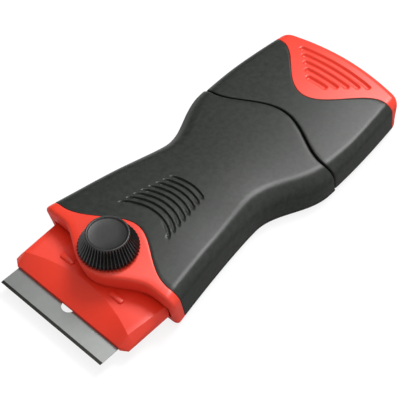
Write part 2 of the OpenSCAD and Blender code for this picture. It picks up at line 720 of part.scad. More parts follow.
module lower_jaw() color(red) difference() {
    union() {
        block(head_back_x, lip_x - lower_jaw_back, carrier_w - lip_h, carrier_z, jaw_face_z);
        block(ear_back_x, head_back_x + wall_t, ear_w, carrier_z, jaw_face_z);
    }
    pair(ear_y) {
        post(jaw_screw_x, 0, small_screw_d + 2 * stud_gap, carrier_z - over, jaw_face_z + over);
        post(jaw_screw_x, 0, small_head_d + 2 * stud_gap, carrier_z - over, carrier_z + small_head_h + hair);
    }
}

module jaw_screws() color(steel) pair(ear_y) translate([jaw_screw_x, 0, 0])
    screw(small_screw_d, small_head_d, small_head_h, carrier_z + hair, carrier_top_z - wall_t / 2 - hair);

// A blade with its edge to the front, a bevel on both faces and one round hole
module blade_at(x_edge, z0) difference() {
    rotate([90, 0, 0]) translate([0, 0, -blade_w / 2]) linear_extrude(blade_w) polygon([
        [x_edge - blade_len, z0], [x_edge - bevel_w, z0], [x_edge, z0 + (blade_t - edge_t) / 2],
        [x_edge, z0 + (blade_t + edge_t) / 2], [x_edge - bevel_w, z0 + blade_t],
        [x_edge - blade_len, z0 + blade_t]]);
    post(x_edge - blade_hole_from_edge, 0, blade_hole_d, z0 - over, z0 + blade_t + over);
}

module blade() color(steel) blade_at(edge_x, jaw_face_z);

// Rings of the cap from its front seam to the end tab's seam, set in by e
function cap_rings(e) = [for (i = [0 : cap_steps]) let (u = i / cap_steps)
    ring("hoop", "parting", "tab", u, e, -parting_gap * (1 - u))];

// Rings of the end tab from its seam to the rounded rear end
tab_rings = concat(
    [for (i = [0 : cap_steps]) let (u = i / cap_steps)
        ring("hoop", "tab", "rear", u, 0, rear_round_r * u)],
    [for (i = [1 : round_steps])
        ring("hoop", "tab", "rear", 1, round_in(rear_round_r, i), round_back(rear_round_r, i))]);

// End face of a closed section: upright strips from its upper half to its lower half
function end_face(row, n) =
    strip([for (j = [0 : n / 2 - 1]) row[j]], [for (j = [0 : n / 2 - 1]) row[n - 1 - j]]);

// A solid through closed sections that each have an upper and a lower half
module hull_of(rows) {
    m = len(rows);
    n = len(rows[0]);
    id = rows_of(m, n);
    polyhedron(points = [for (r = rows) each r], faces = concat(
        flip(end_face(id[0], n)),
        [for (i = [0 : m - 2]) each strip(id[i], id[i + 1])],
        end_face(id[m - 1], n)));
}

// A tube of closed sections between an outer and an inner grid, open at both ends
module sleeve(outer, inner) {
    m = len(outer);
    n = len(outer[0]);
    oi = rows_of(m, n);
    ii = rows_of(m, n, m * n);
    polyhedron(points = concat([for (r = outer) each r], [for (r = inner) each r]), faces = concat(
        [for (i = [0 : m - 2]) each strip(oi[i], oi[i + 1])],
        [for (i = [0 : m - 2]) each flip(strip(ii[i], ii[i + 1]))],
        strip(ii[0], oi[0]), strip(oi[m - 1], ii[m - 1])));
}

// One finger slot of the end tab, which follows the bow of the rear end
module tab_slot(i) {
    r = rear_bow_r - tab_slot_first - i * tab_slot_pitch;
    half = mix(tab_slot_long, tab_slot_short, tab_slot_count > 1 ? i / (tab_slot_count - 1) : 0);
    reach = asin(half / r);
    translate([rear_x + rear_bow_r, 0, top_z(rear_x + rear_bow_r - r, half / 2) - tab_slot_deep])
        rotate([0, 0, 180 - reach])
            rotate_extrude(angle = 2 * reach, $fn = 2 * fine)
                translate([r - tab_slot_w / 2, 0]) square([tab_slot_w, tab_slot_deep + edge_r]);
}

module tray_screw_places() translate([tray_back_x + post_d, 0, 0]) pair(tray_w / 4) children();

module cap_core() color(red) difference() {
    hull_of(concat(cap_rings(skin_t), tab_rings));
    block(tray_back_x - hair, edge_x, tray_w + 2 * hair, tray_z, ceiling_z);
    for (i = [0 : tab_slot_count - 1]) tab_slot(i);
    tray_screw_places() post(0, 0, small_screw_d + 2 * stud_gap, -over, tray_z + over);
    tray_screw_places() post(0, 0, small_head_d + 2 * stud_gap, -over, cap_step + skin_t + small_head_h);
}

module cap_grip() color(soft_black) difference() {
    sleeve(cap_rings(0), cap_rings(skin_t));
    tray_screw_places() post(0, 0, small_head_d + 2 * slide_gap, -over, tray_z);
}

module blade_tray() color(red) difference() {
    union() {
        block(tray_back_x, tray_nose_x, tray_w, tray_z, tray_floor_z);
        block(tray_nose_x - over, tray_nose_x + tongue_len, tongue_w, tray_z, tray_floor_z);
        block(tray_nose_x - tray_t, tray_nose_x, tray_w, tray_z, tray_floor_z + tray_wall_h / 3);
        difference() {
            block(store_back_x - tray_t, tray_nose_x, tray_w, tray_z, tray_z + tray_wall_h);
            block(store_back_x, edge_x, blade_w + 2 * stud_gap, tray_z, ceiling_z);
        }
    }
    tray_screw_places() post(0, 0, small_screw_d, tray_z - over, tray_floor_z + over);
}

module tray_screws() color(steel) tray_screw_places()
    screw(small_screw_d, small_head_d, small_head_h, cap_step + skin_t - hair, tray_floor_z - hair);

module spare_blades() color(steel) for (i = [0 : spare_count - 1])
    blade_at(store_edge_x, tray_floor_z + hair + i * (blade_t + hair));

// A bent strip of spring leaf, drawn as its side view from point to point
module leaf(points, w) rotate([90, 0, 0]) translate([0, 0, -w / 2]) linear_extrude(w)
    polygon(concat(points, [for (i = [len(points) - 1 : -1 : 0]) points[i] + [0, leaf_t]]));

// Leaf that holds the spare blades down: it lies on the tray behind them and bows over the stack
module keeper_spring() color(steel) {
    top = tray_floor_z + spare_count * (blade_t + hair) + hair;
    back = store_back_x - tray_t;
    rest = tray_z + tray_wall_h;
    leaf([[back, rest], [store_back_x, rest], [store_back_x + tray_t, rest + leaf_t],
        [mix(store_back_x, store_edge_x, 1 / 2), top + leaf_t], [mix(store_back_x, store_edge_x, 2 / 3), top],
        [mix(store_back_x, store_edge_x, 3 / 4), top + leaf_t]], tongue_w);
}

// Leaf under the ceiling of the handle, bowed down onto the tray's tongue to hold the cap shut
module catch_spring() color(steel) {
    tip = tray_nose_x + tongue_len * 3 / 4;
    leaf([[tip - tongue_len / 4, tray_floor_z + tray_t], [tip, tray_floor_z + stud_gap],
        [mix(tip, tail_x, 1 / 16), tray_floor_z + 2 * stud_gap],
        [mix(tip, tail_x, 7 / 16), ceiling_z - 2 * leaf_t], [mix(tip, tail_x, 1 / 2), ceiling_z - leaf_t],
        [mix(tip, tail_x, 7 / 8), ceiling_z - leaf_t]], tongue_w / 2);
}

upper_housing();
upper_grip();
base();
base_grip();
housing_screws();
knob();
knob_stud();
knob_washer();
retaining_ring();
clamp_plate();
clamp_nut();
upper_jaw();
lower_jaw();
jaw_screws();
blade();
cap_core();
cap_grip();
blade_tray();
tray_screws();
spare_blades();
keeper_spring();
catch_spring();
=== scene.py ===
"""Looks of the razor blade scraper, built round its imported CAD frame.

Lengths are in millimetres until a mesh is made. X runs to the blade, Z is up and the underside is at 0.
"""
import math

import bmesh
import bpy
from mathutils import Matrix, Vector


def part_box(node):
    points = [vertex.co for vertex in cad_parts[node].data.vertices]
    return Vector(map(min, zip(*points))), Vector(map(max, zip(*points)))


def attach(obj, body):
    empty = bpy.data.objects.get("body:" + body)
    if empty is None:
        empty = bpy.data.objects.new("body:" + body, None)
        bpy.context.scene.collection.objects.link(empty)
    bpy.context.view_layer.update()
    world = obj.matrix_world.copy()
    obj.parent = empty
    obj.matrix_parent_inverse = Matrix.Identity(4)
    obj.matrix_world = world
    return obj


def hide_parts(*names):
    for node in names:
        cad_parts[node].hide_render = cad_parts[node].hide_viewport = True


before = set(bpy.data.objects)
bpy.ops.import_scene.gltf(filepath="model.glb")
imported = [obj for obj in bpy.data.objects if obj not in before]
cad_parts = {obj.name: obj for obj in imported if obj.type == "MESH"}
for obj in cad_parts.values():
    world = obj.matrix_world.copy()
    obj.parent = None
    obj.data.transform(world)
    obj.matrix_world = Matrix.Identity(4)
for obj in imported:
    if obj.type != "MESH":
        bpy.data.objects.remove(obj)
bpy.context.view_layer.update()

MM = 0.001
LOW, HIGH = 0, 1


def corner(node, side, axis):
    """One coordinate of a CAD node's box in millimetres, on its LOW or its HIGH side."""
    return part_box(node)[side]["xyz".index(axis)] / MM


# Places taken from the frame
REAR_X = corner("cap_core", LOW, "x")
EDGE_X = corner("blade", HIGH, "x")
KNOB_X = (corner("knob_washer", LOW, "x") + corner("knob_washer", HIGH, "x")) / 2
KNOB_Z = corner("knob", LOW, "z")
KNOB_TOP_Z = corner("knob", HIGH, "z")
KNOB_HALF = (corner("knob", HIGH, "y") - corner("knob", LOW, "y")) / 2
DECK_H = corner("knob_washer", HIGH, "z")
WASHER_Z = corner("knob_washer", LOW, "z")
WASHER_R = corner("knob_washer", HIGH, "y")
RING_TOP_Z = corner("retaining_ring", HIGH, "z")
RING_R = corner("retaining_ring", HIGH, "y")
SCREWS_REAR_X = corner("housing_screws", LOW, "x")
SCREWS_FRONT_X = corner("housing_screws", HIGH, "x")
TRAY_SCREWS_X = corner("tray_screws", LOW, "x")
TRAY_SCREWS_HALF = corner("tray_screws", HIGH, "y")
TRAY_BACK_X = corner("blade_tray", LOW, "x")
TRAY_HALF = corner("blade_tray", HIGH, "y")
TRAY_Z = corner("blade_tray", LOW, "z")
JAW_FACE_Z = corner("lower_jaw", HIGH, "z")
TAIL_X = corner("upper_jaw", LOW, "x")
TAIL_LOW_Z = corner("upper_jaw", LOW, "z")
LIP_X = corner("upper_jaw", HIGH, "x")
RIB_TOP_Z = corner("upper_jaw", HIGH, "z")
CLAMP_FRONT_X = corner("clamp_plate", HIGH, "x")
NUT_FRONT_X = corner("clamp_nut", HIGH, "x")
NUT_HALF = corner("clamp_nut", HIGH, "y")

# Handle form
REAR_W = 44.6
SHOULDER_W = 50.8
WAIST_W = 36.8
FRONT_W = 49.2
SHOULDER_X = REAR_X + 39.4
WAIST_X = REAR_X + 62.4
LOW_X = REAR_X + 52.0
DECK_X = REAR_X + 90.0
FLARE = 1.3
REAR_H = 13.4
WAIST_H = 11.6
CROWN = 0.8
EDGE_R = 3.6
WAIST_EDGE_R = 6.0
WAIST_FADE = 30.0
BASE_EDGE_R = 1.8
REAR_BOW_R = 82.0
REAR_ROUND_R = 2.6

# Seams
SEAM_Z = 2.2
SEAM_LEAN = 0.22
PARTING_X = REAR_X + 39.2
PARTING_DEPTH = 7.9
PARTING_HALF = 22.0
PARTING_GAP = 0.65
PARTING_EASE = 0.1
PARTING_EDGE_R = 0.42
LAP_T = 2.3
LAP_W = 1.2
CORE_BACK = 2.0
CAP_STEP = 0.4
YOKE_X = REAR_X + 100.3
YOKE_DEPTH = 9.1
YOKE_HALF = 20.0
NOSE_X = REAR_X + 103.5
NOSE_BULGE = 7.0
NOSE_HALF = 17.0
NOSE_DROP = 0.5
NOSE_SLOPE_LEN = 3.0
NOSE_ROUND_R = 1.0
TAB_X = REAR_X + 8.2
TAB_REACH = 13.7
TAB_HALF = 20.0
SKIN_EDGE_R = 0.28
SEAM_EDGE_R = 0.22
SEAM_RELIEF = SEAM_EDGE_R * 0.6

# Each seam's place at the sides, how far it swings along X at the centre line, and that swing's half width
SEAMS = {
    "parting": (PARTING_X, -PARTING_DEPTH, PARTING_HALF),
    "yoke": (YOKE_X, -YOKE_DEPTH, YOKE_HALF),
    "nose": (NOSE_X, NOSE_BULGE, NOSE_HALF),
    "sill": (NOSE_X, 0, NOSE_HALF),
    "tab": (TAB_X, TAB_REACH, TAB_HALF),
}

# Shells. PAST is how far a cutter reaches past the face that it opens.
SKIN_T = 1.4
BASE_SKIN_T = 0.9
WALL_T = 1.4
CEILING_Z = 7.6
ROOM_SETBACK = 1.0
SOLE_SETBACK = 0.05
POCKET_EASE = 0.03
FIT_GAP = 0.3
STUD_HOLE_R = 2.56
PAST = 1.0

# Screw holes: the heads' recesses, the shanks' bores and the clearance through the skin
SCREW_REAR_Y = 15.68
SCREW_FRONT_Y = 16.61
SCREW_HEAD_R = 2.0
SCREW_RECESS_R, SCREW_RECESS_TOP = 2.06, 1.02
SCREW_BORE_R, SCREW_BORE_Z = 1.16, 0.9
SCREW_SKIN_R = 2.3
TRAY_HEAD_R = 1.6
TRAY_RECESS_R, TRAY_RECESS_TOP = 1.66, 2.4
TRAY_BORE_R, TRAY_BORE_Z = 0.96, 2
TRAY_SKIN_R, TRAY_SKIN_TOP = 1.9, 2.2
HOLE_BOTTOM, HOLE_TOP = -PAST, 3
HOLE_SIDES = 48

# Grooves and finger slots. GROOVE_FIFTHS places rows across a groove, in fifths of its half width and lip.
GROOVE_COUNT = 8
GROOVE_W = 0.8
GROOVE_DEEP = 0.7
GROOVE_PITCH = 2.06
GROOVE_FIRST = 17.1
GROOVE_R = 13.2
GROOVE_FIRST_HALF = 9.6
GROOVE_LAST_HALF = 6.4
GROOVE_TAPER = 1.2
GROOVE_LEAD = 0.6
GROOVE_FIFTHS = (7, 5, 4.2, 3.4, 2.4, 0, -2.4, -3.4, -4.2, -5, -7)
SLOT_COUNT = 5
SLOT_PITCH = 2.4
SLOT_W = 1.3
SLOT_DEEP = 0.7
SLOT_FIRST = 5.4
SLOT_LONG = 13.5
SLOT_SHORT = 4.0
SLOT_TAPER = 0.7
LIP_W = 0.16
SLOT_LIP_W = 0.42
END_WIDTH = 0.55

# Knob
TEETH, POINTS_PER_TOOTH = 48, 8
TOOTH_DEEP = 0.75
KNOB_FOOT_R = KNOB_HALF + 0.2
KNOB_TOP_R = 6.1
KNOB_RIM_W = 0.85
KNOB_DISH = 0.35

# Carrier
HEAD_BACK_X = YOKE_X + WALL_T
HEAD_HALF = 21.5
HEAD_TOP_HALF = 19.6
HEAD_BACK_HALF = 20.6
HEAD_TOP_Z = RIB_TOP_Z - 0.5
HEAD_STEPS = 22
CORNER_CUT = 1.3
CORNER_SHOULDER = 3.3
CREASE_MIDDLE = 7.5
CREASE_SIDE = 3.1
LIP_H = 1.0
BLADE_T = 0.23
BLADE_SEAT_HALF = 19.11
BLADE_SEAT_EASE = 0.05
TAIL_Z = TAIL_LOW_Z + 2.1
TAIL_HALF = 13.0
EAR_HALF = 17.0
EAR_GAP = 10.0
EAR_BACK_X = HEAD_BACK_X - 4.5
EAR_DROP = 0.001
RIB_X = EDGE_X - 15.7
RIB_Y = 9.3
RIB_R = 0.85
RIB_REACH = 1.6
RIB_LEVELS = ((-0.3, 0.0), (0.4, 0.02), (0.62, 0.12), (0.72, 0.35))
CARRIER_EDGE_R = 0.3
CARRIER_EDGE_TURN = 14

# Angles in degrees past which an edge is shaded sharp
PLAIN_SHARP = 35
RED_SHARP = 30
KNOB_SHARP = 50


def mix(a, b, u):
    """The value u of the way from a to b."""
    return a + (b - a) * u


def clamp(v, low, high):
    """A value held between two limits."""
    return max(low, min(high, v))


def smooth(u):
    """Rises from 0 to 1 with level ends."""
    u = clamp(u, 0, 1)
    return u * u * (3 - 2 * u)


def wave(y, half):
    """Bell curve from 1 at the centre line to 0 at its half width."""
    return (1 + math.cos(math.pi * y / half)) / 2 if abs(y) < half else 0.0


# Form of the handle, as functions of the place
def half_w(x):
    """Half the handle's width."""
    if x < SHOULDER_X:
        u = max(0, (x - REAR_X) / (SHOULDER_X - REAR_X))
        return mix(REAR_W, SHOULDER_W, math.sin(math.pi / 2 * u)) / 2
    if x < WAIST_X:
        return mix(WAIST_W, SHOULDER_W, wave(x - SHOULDER_X, WAIST_X - SHOULDER_X)) / 2
    return mix(WAIST_W, FRONT_W, ((x - WAIST_X) / (NOSE_X - WAIST_X)) ** FLARE) / 2


def crest(x):
    """Height of the centre line before the nose falls."""
    if x < LOW_X:
        return mix(WAIST_H, REAR_H, wave(x - REAR_X, LOW_X - REAR_X))
    if x < DECK_X:
        return mix(DECK_H, WAIST_H, wave(x - LOW_X, DECK_X - LOW_X))
    return DECK_H


def edge_radius(x):
    """Radius between the top and the side wall, larger round the waist."""
    return mix(EDGE_R, WAIST_EDGE_R, wave(x - LOW_X, WAIST_FADE))


def is_groove_line(seam):
    """Says whether a seam is a groove's line: a number, its distance behind the knob's axis."""
    return isinstance(seam, float)


def seam_at(seam, y):
    """Where along X a seam or a groove's line lies at y, before it leans."""
    if is_groove_line(seam):
        y = min(abs(y), GROOVE_FIRST_HALF)
        return KNOB_X - seam + GROOVE_R - math.sqrt(GROOVE_R ** 2 - y ** 2)
    if seam == "rear":
        return REAR_X + y * y / (2 * REAR_BOW_R)
    x, swing, half = SEAMS[seam]
    return x + swing * wave(y, half)


def seam_nominal(seam):
    """The place along X whose section a seam takes before its own bend is known."""
    if is_groove_line(seam):
        return KNOB_X - seam
    return REAR_X if seam == "rear" else SEAMS[seam][0]


def seam_lean(seam):
    """How far a seam leans back for each millimetre below the deck."""
    return 0 if is_groove_line(seam) or seam == "rear" else SEAM_LEAN


def top_z(x, y):
    """Height of the handle's back, with its crown and the fall of its nose."""
    d = clamp((seam_at("nose", y) - x) / NOSE_SLOPE_LEN, 0, 1)
    return crest(x) - CROWN * (y / half_w(x)) ** 2 - NOSE_DROP * (1 - d) ** 2


def columns(wall_steps, edge_steps, top_places):
    """Places round a section from the left seam over the top to the right one: zone, share and side."""
    wall = [("wall", i / wall_steps) for i in range(wall_steps)]
    edge = [("edge", i / edge_steps) for i in range(edge_steps)]
    left = [(zone, t, -1) for zone, t in wall + edge]
    right = [(zone, t, 1) for zone, t in reversed(wall + edge)]
    return left + [("top", t, 1) for t in top_places] + right


def arch_point(x, place, e):
    """A point of the upper part's section at x, set in by e."""
    zone, t, side = place
    w = half_w(x)
    r = edge_radius(x)
    s = w - r
    if zone == "top":
        y = s * t
        return x, y, top_z(x, y) - e
    c = top_z(x, s) - r
    if zone == "wall":
        relief = SEAM_RELIEF if t == 0 else 0
        return x, side * (w - e - relief), mix(SEAM_Z, c, t)
    a = math.pi / 2 * t
    return x, side * (s + (r - e) * math.cos(a)), c + (r - e) * math.sin(a)


def keel_point(x, place, e):
    """A point of the lower part's section at x, set in by e."""
    zone, t, side = place
    w = half_w(x)
    s = w - BASE_EDGE_R
    if zone == "top":
        return x, s * t, e
    if zone == "wall":
        relief = SEAM_RELIEF if t == 0 else 0
        return x, side * (w - e - relief), mix(SEAM_Z, BASE_EDGE_R, t)
    a = math.pi / 2 * t
    y = side * (s + (BASE_EDGE_R - e) * math.cos(a))
    return x, y, BASE_EDGE_R - (BASE_EDGE_R - e) * math.sin(a)


def cap_point(x, place, e):
    """A point of the cap's closed section at x. A place's fourth member says if it is in the lower half."""
    if place[3]:
        return keel_point(x, place[:3], e * BASE_SKIN_T / SKIN_T + CAP_STEP)
    return arch_point(x, place[:3], e + CAP_STEP)


def row(point, places, seam_a, seam_b, u, e=0.0, shift=0.0, narrow=0.0):
    """A row of points u of the way between two seams, set in by e, shifted, and narrowed on each side."""
    made = []
    for place in places:
        pa = point(seam_nominal(seam_a), place, e)
        pb = point(seam_nominal(seam_b), place, e)
        xa = seam_at(seam_a, pa[1]) - seam_lean(seam_a) * (DECK_H - pa[2])
        xb = seam_at(seam_b, pb[1]) - seam_lean(seam_b) * (DECK_H - pb[2])
        x, y, z = point(mix(xa, xb, u) + shift, place, e)
        made.append((x, y * (1 - narrow / half_w(x)), z))
    return made


def rounding(r, steps, e=0.0):
    """Setback and inset of a quarter-round from the level of the surface down to its end."""
    angles = [math.pi / 2 * i / steps for i in range(steps + 1)]
    return [(r * (1 - math.sin(a)), e + r * (1 - math.cos(a))) for a in angles]


def between(row_a, row_b, steps):
    """Rows on straight lines from one row to another, without the two themselves."""
    return [
        [tuple(mix(p, q, i / steps) for p, q in zip(a, b)) for a, b in zip(row_a, row_b)]
        for i in range(1, steps)
    ]


# Meshes
WELD_DIST = 0.004


def shade(piece, sharp):
    """Shades a piece smooth but for the edges past an angle."""
    piece.data.polygons.foreach_set("use_smooth", [True] * len(piece.data.polygons))
    piece.data.set_sharp_from_angle(angle=math.radians(sharp))


def bmesh_from(points, faces):
    """A bmesh from points in millimetres."""
    bm = bmesh.new()
    verts = [bm.verts.new([c * MM for c in p]) for p in points]
    for face in faces:
        bm.faces.new([verts[i] for i in face])
    return bm


def add_object(name, bm):
    """An object in the scene from a bmesh, with its faces turned outward."""
    bmesh.ops.recalc_face_normals(bm, faces=bm.faces)
    mesh = bpy.data.meshes.new(name)
    bm.to_mesh(mesh)
    bm.free()
    made = bpy.data.objects.new(name, mesh)
    bpy.context.collection.objects.link(made)
    return made


def make_mesh(name, points, faces, body, material, sharp):
    """A piece from points in millimetres, its open ends closed, with its material, on its body."""
    bm = bmesh_from(points, faces)
    bmesh.ops.remove_doubles(bm, verts=bm.verts, dist=WELD_DIST * MM)
    holes = [e for e in bm.edges if len(e.link_faces) == 1]
    if holes:
        bmesh.ops.holes_fill(bm, edges=holes, sides=0)
    piece = add_object(name, bm)
    piece.data.materials.append(material)
    shade(piece, sharp)
    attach(piece, body)
    return piece


def loft_faces(count, n, loop_rows, loop_columns):
    """Quads between neighbouring points of a grid of count rows with n points each."""
    return [
        (i * n + j, ((i + 1) % count) * n + j, ((i + 1) % count) * n + (j + 1) % n, i * n + (j + 1) % n)
        for i in range(count if loop_rows else count - 1)
        for j in range(n if loop_columns else n - 1)
    ]


def loft(name, rows, body, material, loop_rows=True, loop_columns=False, caps=(), sharp=PLAIN_SHARP):
    """A piece through rows of points, with a face across each row that caps names."""
    n = len(rows[0])
    faces = loft_faces(len(rows), n, loop_rows, loop_columns)
    faces += [[i * n + j for j in range(n)] for i in caps]
    return make_mesh(name, [p for r in rows for p in r], faces, body, material, sharp)


def apply_modifiers(piece, sharp):
    """Keeps what a piece's modifiers make of its mesh, and shades it again."""
    dg = bpy.context.evaluated_depsgraph_get()
    mesh = bpy.data.meshes.new_from_object(piece.evaluated_get(dg))
    piece.modifiers.clear()
    piece.data = mesh
    shade(piece, sharp)


def cut(piece, cutters, sharp=PLAIN_SHARP, join=False):
    """Cuts the cutters out of a piece, or joins them to it."""
    for cutter in cutters:
        mod = piece.modifiers.new("cut", "BOOLEAN")
        mod.operation = "UNION" if join else "DIFFERENCE"
        mod.solver = "EXACT"
        mod.object = cutter
    apply_modifiers(piece, sharp)
    for cutter in cutters:
        bpy.data.objects.remove(cutter)


def soften(piece, width, turn, segments):
    """Rounds a piece's edges that turn by more than an angle in degrees."""
    mod = piece.modifiers.new("soften", "BEVEL")
    mod.width = width * MM
    mod.segments = segments
    mod.limit_method = "ANGLE"
    mod.angle_limit = math.radians(turn)
    mod.use_clamp_overlap = True
    apply_modifiers(piece, PLAIN_SHARP)


def solid(rows):
    """A closed solid through rows of points, to cut or join with."""
    n = len(rows[0])
    faces = loft_faces(len(rows), n, loop_rows=False, loop_columns=True)
    faces += [list(range(n)), [(len(rows) - 1) * n + j for j in range(n)]]
    return add_object("cutter", bmesh_from([p for r in rows for p in r], faces))


def peg(x, y, r, z0, z1):
    """An upright round solid to cut with."""
    angles = [2 * math.pi * i / HOLE_SIDES for i in range(HOLE_SIDES)]
    return solid([[(x + r * math.cos(a), y + r * math.sin(a), z) for a in angles] for z in (z0, z1)])


def bar(x0, x1, y0, y1, z0, z1):
    """A box to cut or join with."""
    return solid([[(x0, y0, z), (x1, y0, z), (x1, y1, z), (x0, y1, z)] for z in (z0, z1)])


# Materials
DARK_STOP = 0.3
PALE_STOP = 0.7


def add_node(tree, kind, **values):
    """A shader node with its inputs or its settings given by name."""
    made = tree.nodes.new(kind)
    for key, value in values.items():
        if key in made.inputs:
            made.inputs[key].default_value = value
        else:
            setattr(made, key, value)
    return made


def add_material(name, colour, roughness, specular=0.5, metallic=0.0):
    """A material, its node tree and its shader."""
    made = bpy.data.materials.new(name)
    made.use_nodes = True
    shader = made.node_tree.nodes["Principled BSDF"]
    shader.inputs["Base Color"].default_value = (*colour, 1)
    shader.inputs["Roughness"].default_value = roughness
    shader.inputs["Specular IOR Level"].default_value = specular
    shader.inputs["Metallic"].default_value = metallic
    return made, made.node_tree, shader


def worn(tree, shader, top, wall, wall_up=0.3, top_up=0.95):
    """Roughness that goes from wall on upright faces to top on level ones, by the normal's upward share."""
    form = add_node(tree, "ShaderNodeNewGeometry")
    split = add_node(tree, "ShaderNodeSeparateXYZ")
    share = add_node(tree, "ShaderNodeMapRange")
    share.inputs["From Min"].default_value = wall_up
    share.inputs["From Max"].default_value = top_up
    share.inputs["To Min"].default_value = wall
    share.inputs["To Max"].default_value = top
    tree.links.new(form.outputs["Normal"], split.inputs["Vector"])
    tree.links.new(split.outputs["Z"], share.inputs["Value"])
    tree.links.new(share.outputs["Result"], shader.inputs["Roughness"])


def grain(tree, shader, scale, strength, distance, stretch=(1, 1, 1)):
    """Fine moulded or ground texture as bump, scale in lumps per metre. Gives the object's coordinates."""
    place = add_node(tree, "ShaderNodeTexCoord")
    spread = add_node(tree, "ShaderNodeMapping")
    spread.inputs["Scale"].default_value = stretch
    lumps = add_node(tree, "ShaderNodeTexNoise", Scale=scale, Detail=3.0, Roughness=0.6)
    bump = add_node(tree, "ShaderNodeBump", Strength=strength, Distance=distance)
    tree.links.new(place.outputs["Object"], spread.inputs["Vector"])
    tree.links.new(spread.outputs["Vector"], lumps.inputs["Vector"])
    tree.links.new(lumps.outputs["Fac"], bump.inputs["Height"])
    tree.links.new(bump.outputs["Normal"], shader.inputs["Normal"])
    return place


def mottle(tree, shader, place, low, high, scale):
    """Slow variation of the colour between low and high."""
    lumps = add_node(tree, "ShaderNodeTexNoise", Scale=scale, Detail=4.0, Roughness=0.55)
    ramp = add_node(tree, "ShaderNodeValToRGB")
    dark, pale = ramp.color_ramp.elements
    dark.position = DARK_STOP
    pale.position = PALE_STOP
    dark.color = (*low, 1)
    pale.color = (*high, 1)
    tree.links.new(place.outputs["Object"], lumps.inputs["Vector"])
    tree.links.new(lumps.outputs["Fac"], ramp.inputs["Fac"])
    tree.links.new(ramp.outputs["Color"], shader.inputs["Base Color"])


def red_plastic():
    """Satin moulded red, slightly uneven in tone."""
    made, tree, shader = add_material("red_moulding", (0.83, 0.045, 0.022), roughness=0.38, specular=0.55)
    place = grain(tree, shader, scale=2600, strength=0.10, distance=0.00004)
    worn(tree, shader, top=0.36, wall=0.7)
    mottle(tree, shader, place, low=(0.80, 0.037, 0.014), high=(0.86, 0.046, 0.018), scale=90)
    return made


def soft_skin():
    """Fine-grained soft black, duller on the side walls."""
    made, tree, shader = add_material("soft_skin", (0.022, 0.024, 0.021), roughness=0.40, specular=0.31)
    place = grain(tree, shader, scale=3800, strength=0.45, distance=0.00004)
    mottle(tree, shader, place, low=(0.015, 0.018, 0.015), high=(0.028, 0.031, 0.027), scale=700)
    worn(tree, shader, top=0.33, wall=0.85)
    return made


def knob_plastic():
    """Hard black, glossier on the serrations than on the top."""
    made, tree, shader = add_material("knob_moulding", (0.010, 0.010, 0.010), roughness=0.30)
    place = grain(tree, shader, scale=3000, strength=0.25, distance=0.00005)
    mottle(tree, shader, place, low=(0.008, 0.008, 0.008), high=(0.015, 0.015, 0.014), scale=400)
    worn(tree, shader, top=0.40, wall=0.2)
    return made


def steel(name, tint, roughness, stretch=(1, 1, 1)):
    """Plain steel with faint marks."""
    made, tree, shader = add_material(name, tint, roughness, metallic=1.0)
    place = grain(tree, shader, scale=1500, strength=0.08, distance=0.00002, stretch=stretch)
    dark_share, pale_share = 0.9, 1.08
    low = tuple(dark_share * c for c in tint)
    high = tuple(min(1, pale_share * c) for c in tint)
    mottle(tree, shader, place, low, high, scale=300)
    return made


def blade_steel():
    """Ground steel with fine cross marks, and painted shade on the bevel behind the cutting edge."""
    bevel_start, bevel_end = 0.95, 0.80
    flat_dark, flat_pale = (0.245, 0.255, 0.25), (0.315, 0.325, 0.315)
    # Painted shade: the bevel's strip is coloured dark in place of the dark reflection it shows, though its
    # steel is no darker than the flat.
    painted_bevel_shade = (0.045, 0.046, 0.040)
    made, tree, shader = add_material("blade_steel", (0.36, 0.38, 0.38), roughness=0.38, metallic=1.0)
    place = grain(tree, shader, scale=900, strength=0.06, distance=0.00002, stretch=(0.6, 14, 1))
    marks = add_node(tree, "ShaderNodeTexNoise", Scale=220.0, Detail=5.0, Roughness=0.6)
    split = add_node(tree, "ShaderNodeSeparateXYZ")
    step = add_node(tree, "ShaderNodeMapRange")
    step.inputs["From Min"].default_value = (EDGE_X - bevel_start) * MM
    step.inputs["From Max"].default_value = (EDGE_X - bevel_end) * MM
    flat_tone = add_node(tree, "ShaderNodeMix", data_type="RGBA")
    flat_tone.inputs["A"].default_value = (*flat_dark, 1)
    flat_tone.inputs["B"].default_value = (*flat_pale, 1)
    whole = add_node(tree, "ShaderNodeMix", data_type="RGBA")
    whole.inputs["B"].default_value = (*painted_bevel_shade, 1)
    tree.links.new(place.outputs["Object"], marks.inputs["Vector"])
    tree.links.new(place.outputs["Object"], split.inputs["Vector"])
    tree.links.new(split.outputs["X"], step.inputs["Value"])
    tree.links.new(marks.outputs["Fac"], flat_tone.inputs["Factor"])
    tree.links.new(flat_tone.outputs["Result"], whole.inputs["A"])
    tree.links.new(step.outputs["Result"], whole.inputs["Factor"])
    tree.links.new(whole.outputs["Result"], shader.inputs["Base Color"])
    return made


RED = red_plastic()
SKIN = soft_skin()
KNOB = knob_plastic()
BLADE = blade_steel()
PLATED = steel("plated_steel", (0.56, 0.57, 0.58), roughness=0.34)
SPRING = steel("spring_steel", (0.42, 0.42, 0.43), roughness=0.3, stretch=(1, 20, 1))


# Section places: fine backs for the grooves and the slots, a plain one for the rest
def back_places(steps):
    """Even shares from the left end of a section's back to the right one."""
    return [mix(-1, 1, i / steps) for i in range(steps + 1)]


def closed_places(wall_steps, edge_steps, top_places):
    """Places round the cap: the upper half from left to right, then the lower half back to the left."""
    half = columns(wall_steps, edge_steps, top_places)
    upper = [(*p, False) for p in half]
    lower = [(*p, True) for p in reversed(half)]
    return upper[1:-1] + [p for p in lower if p[:2] != ("wall", 0)]


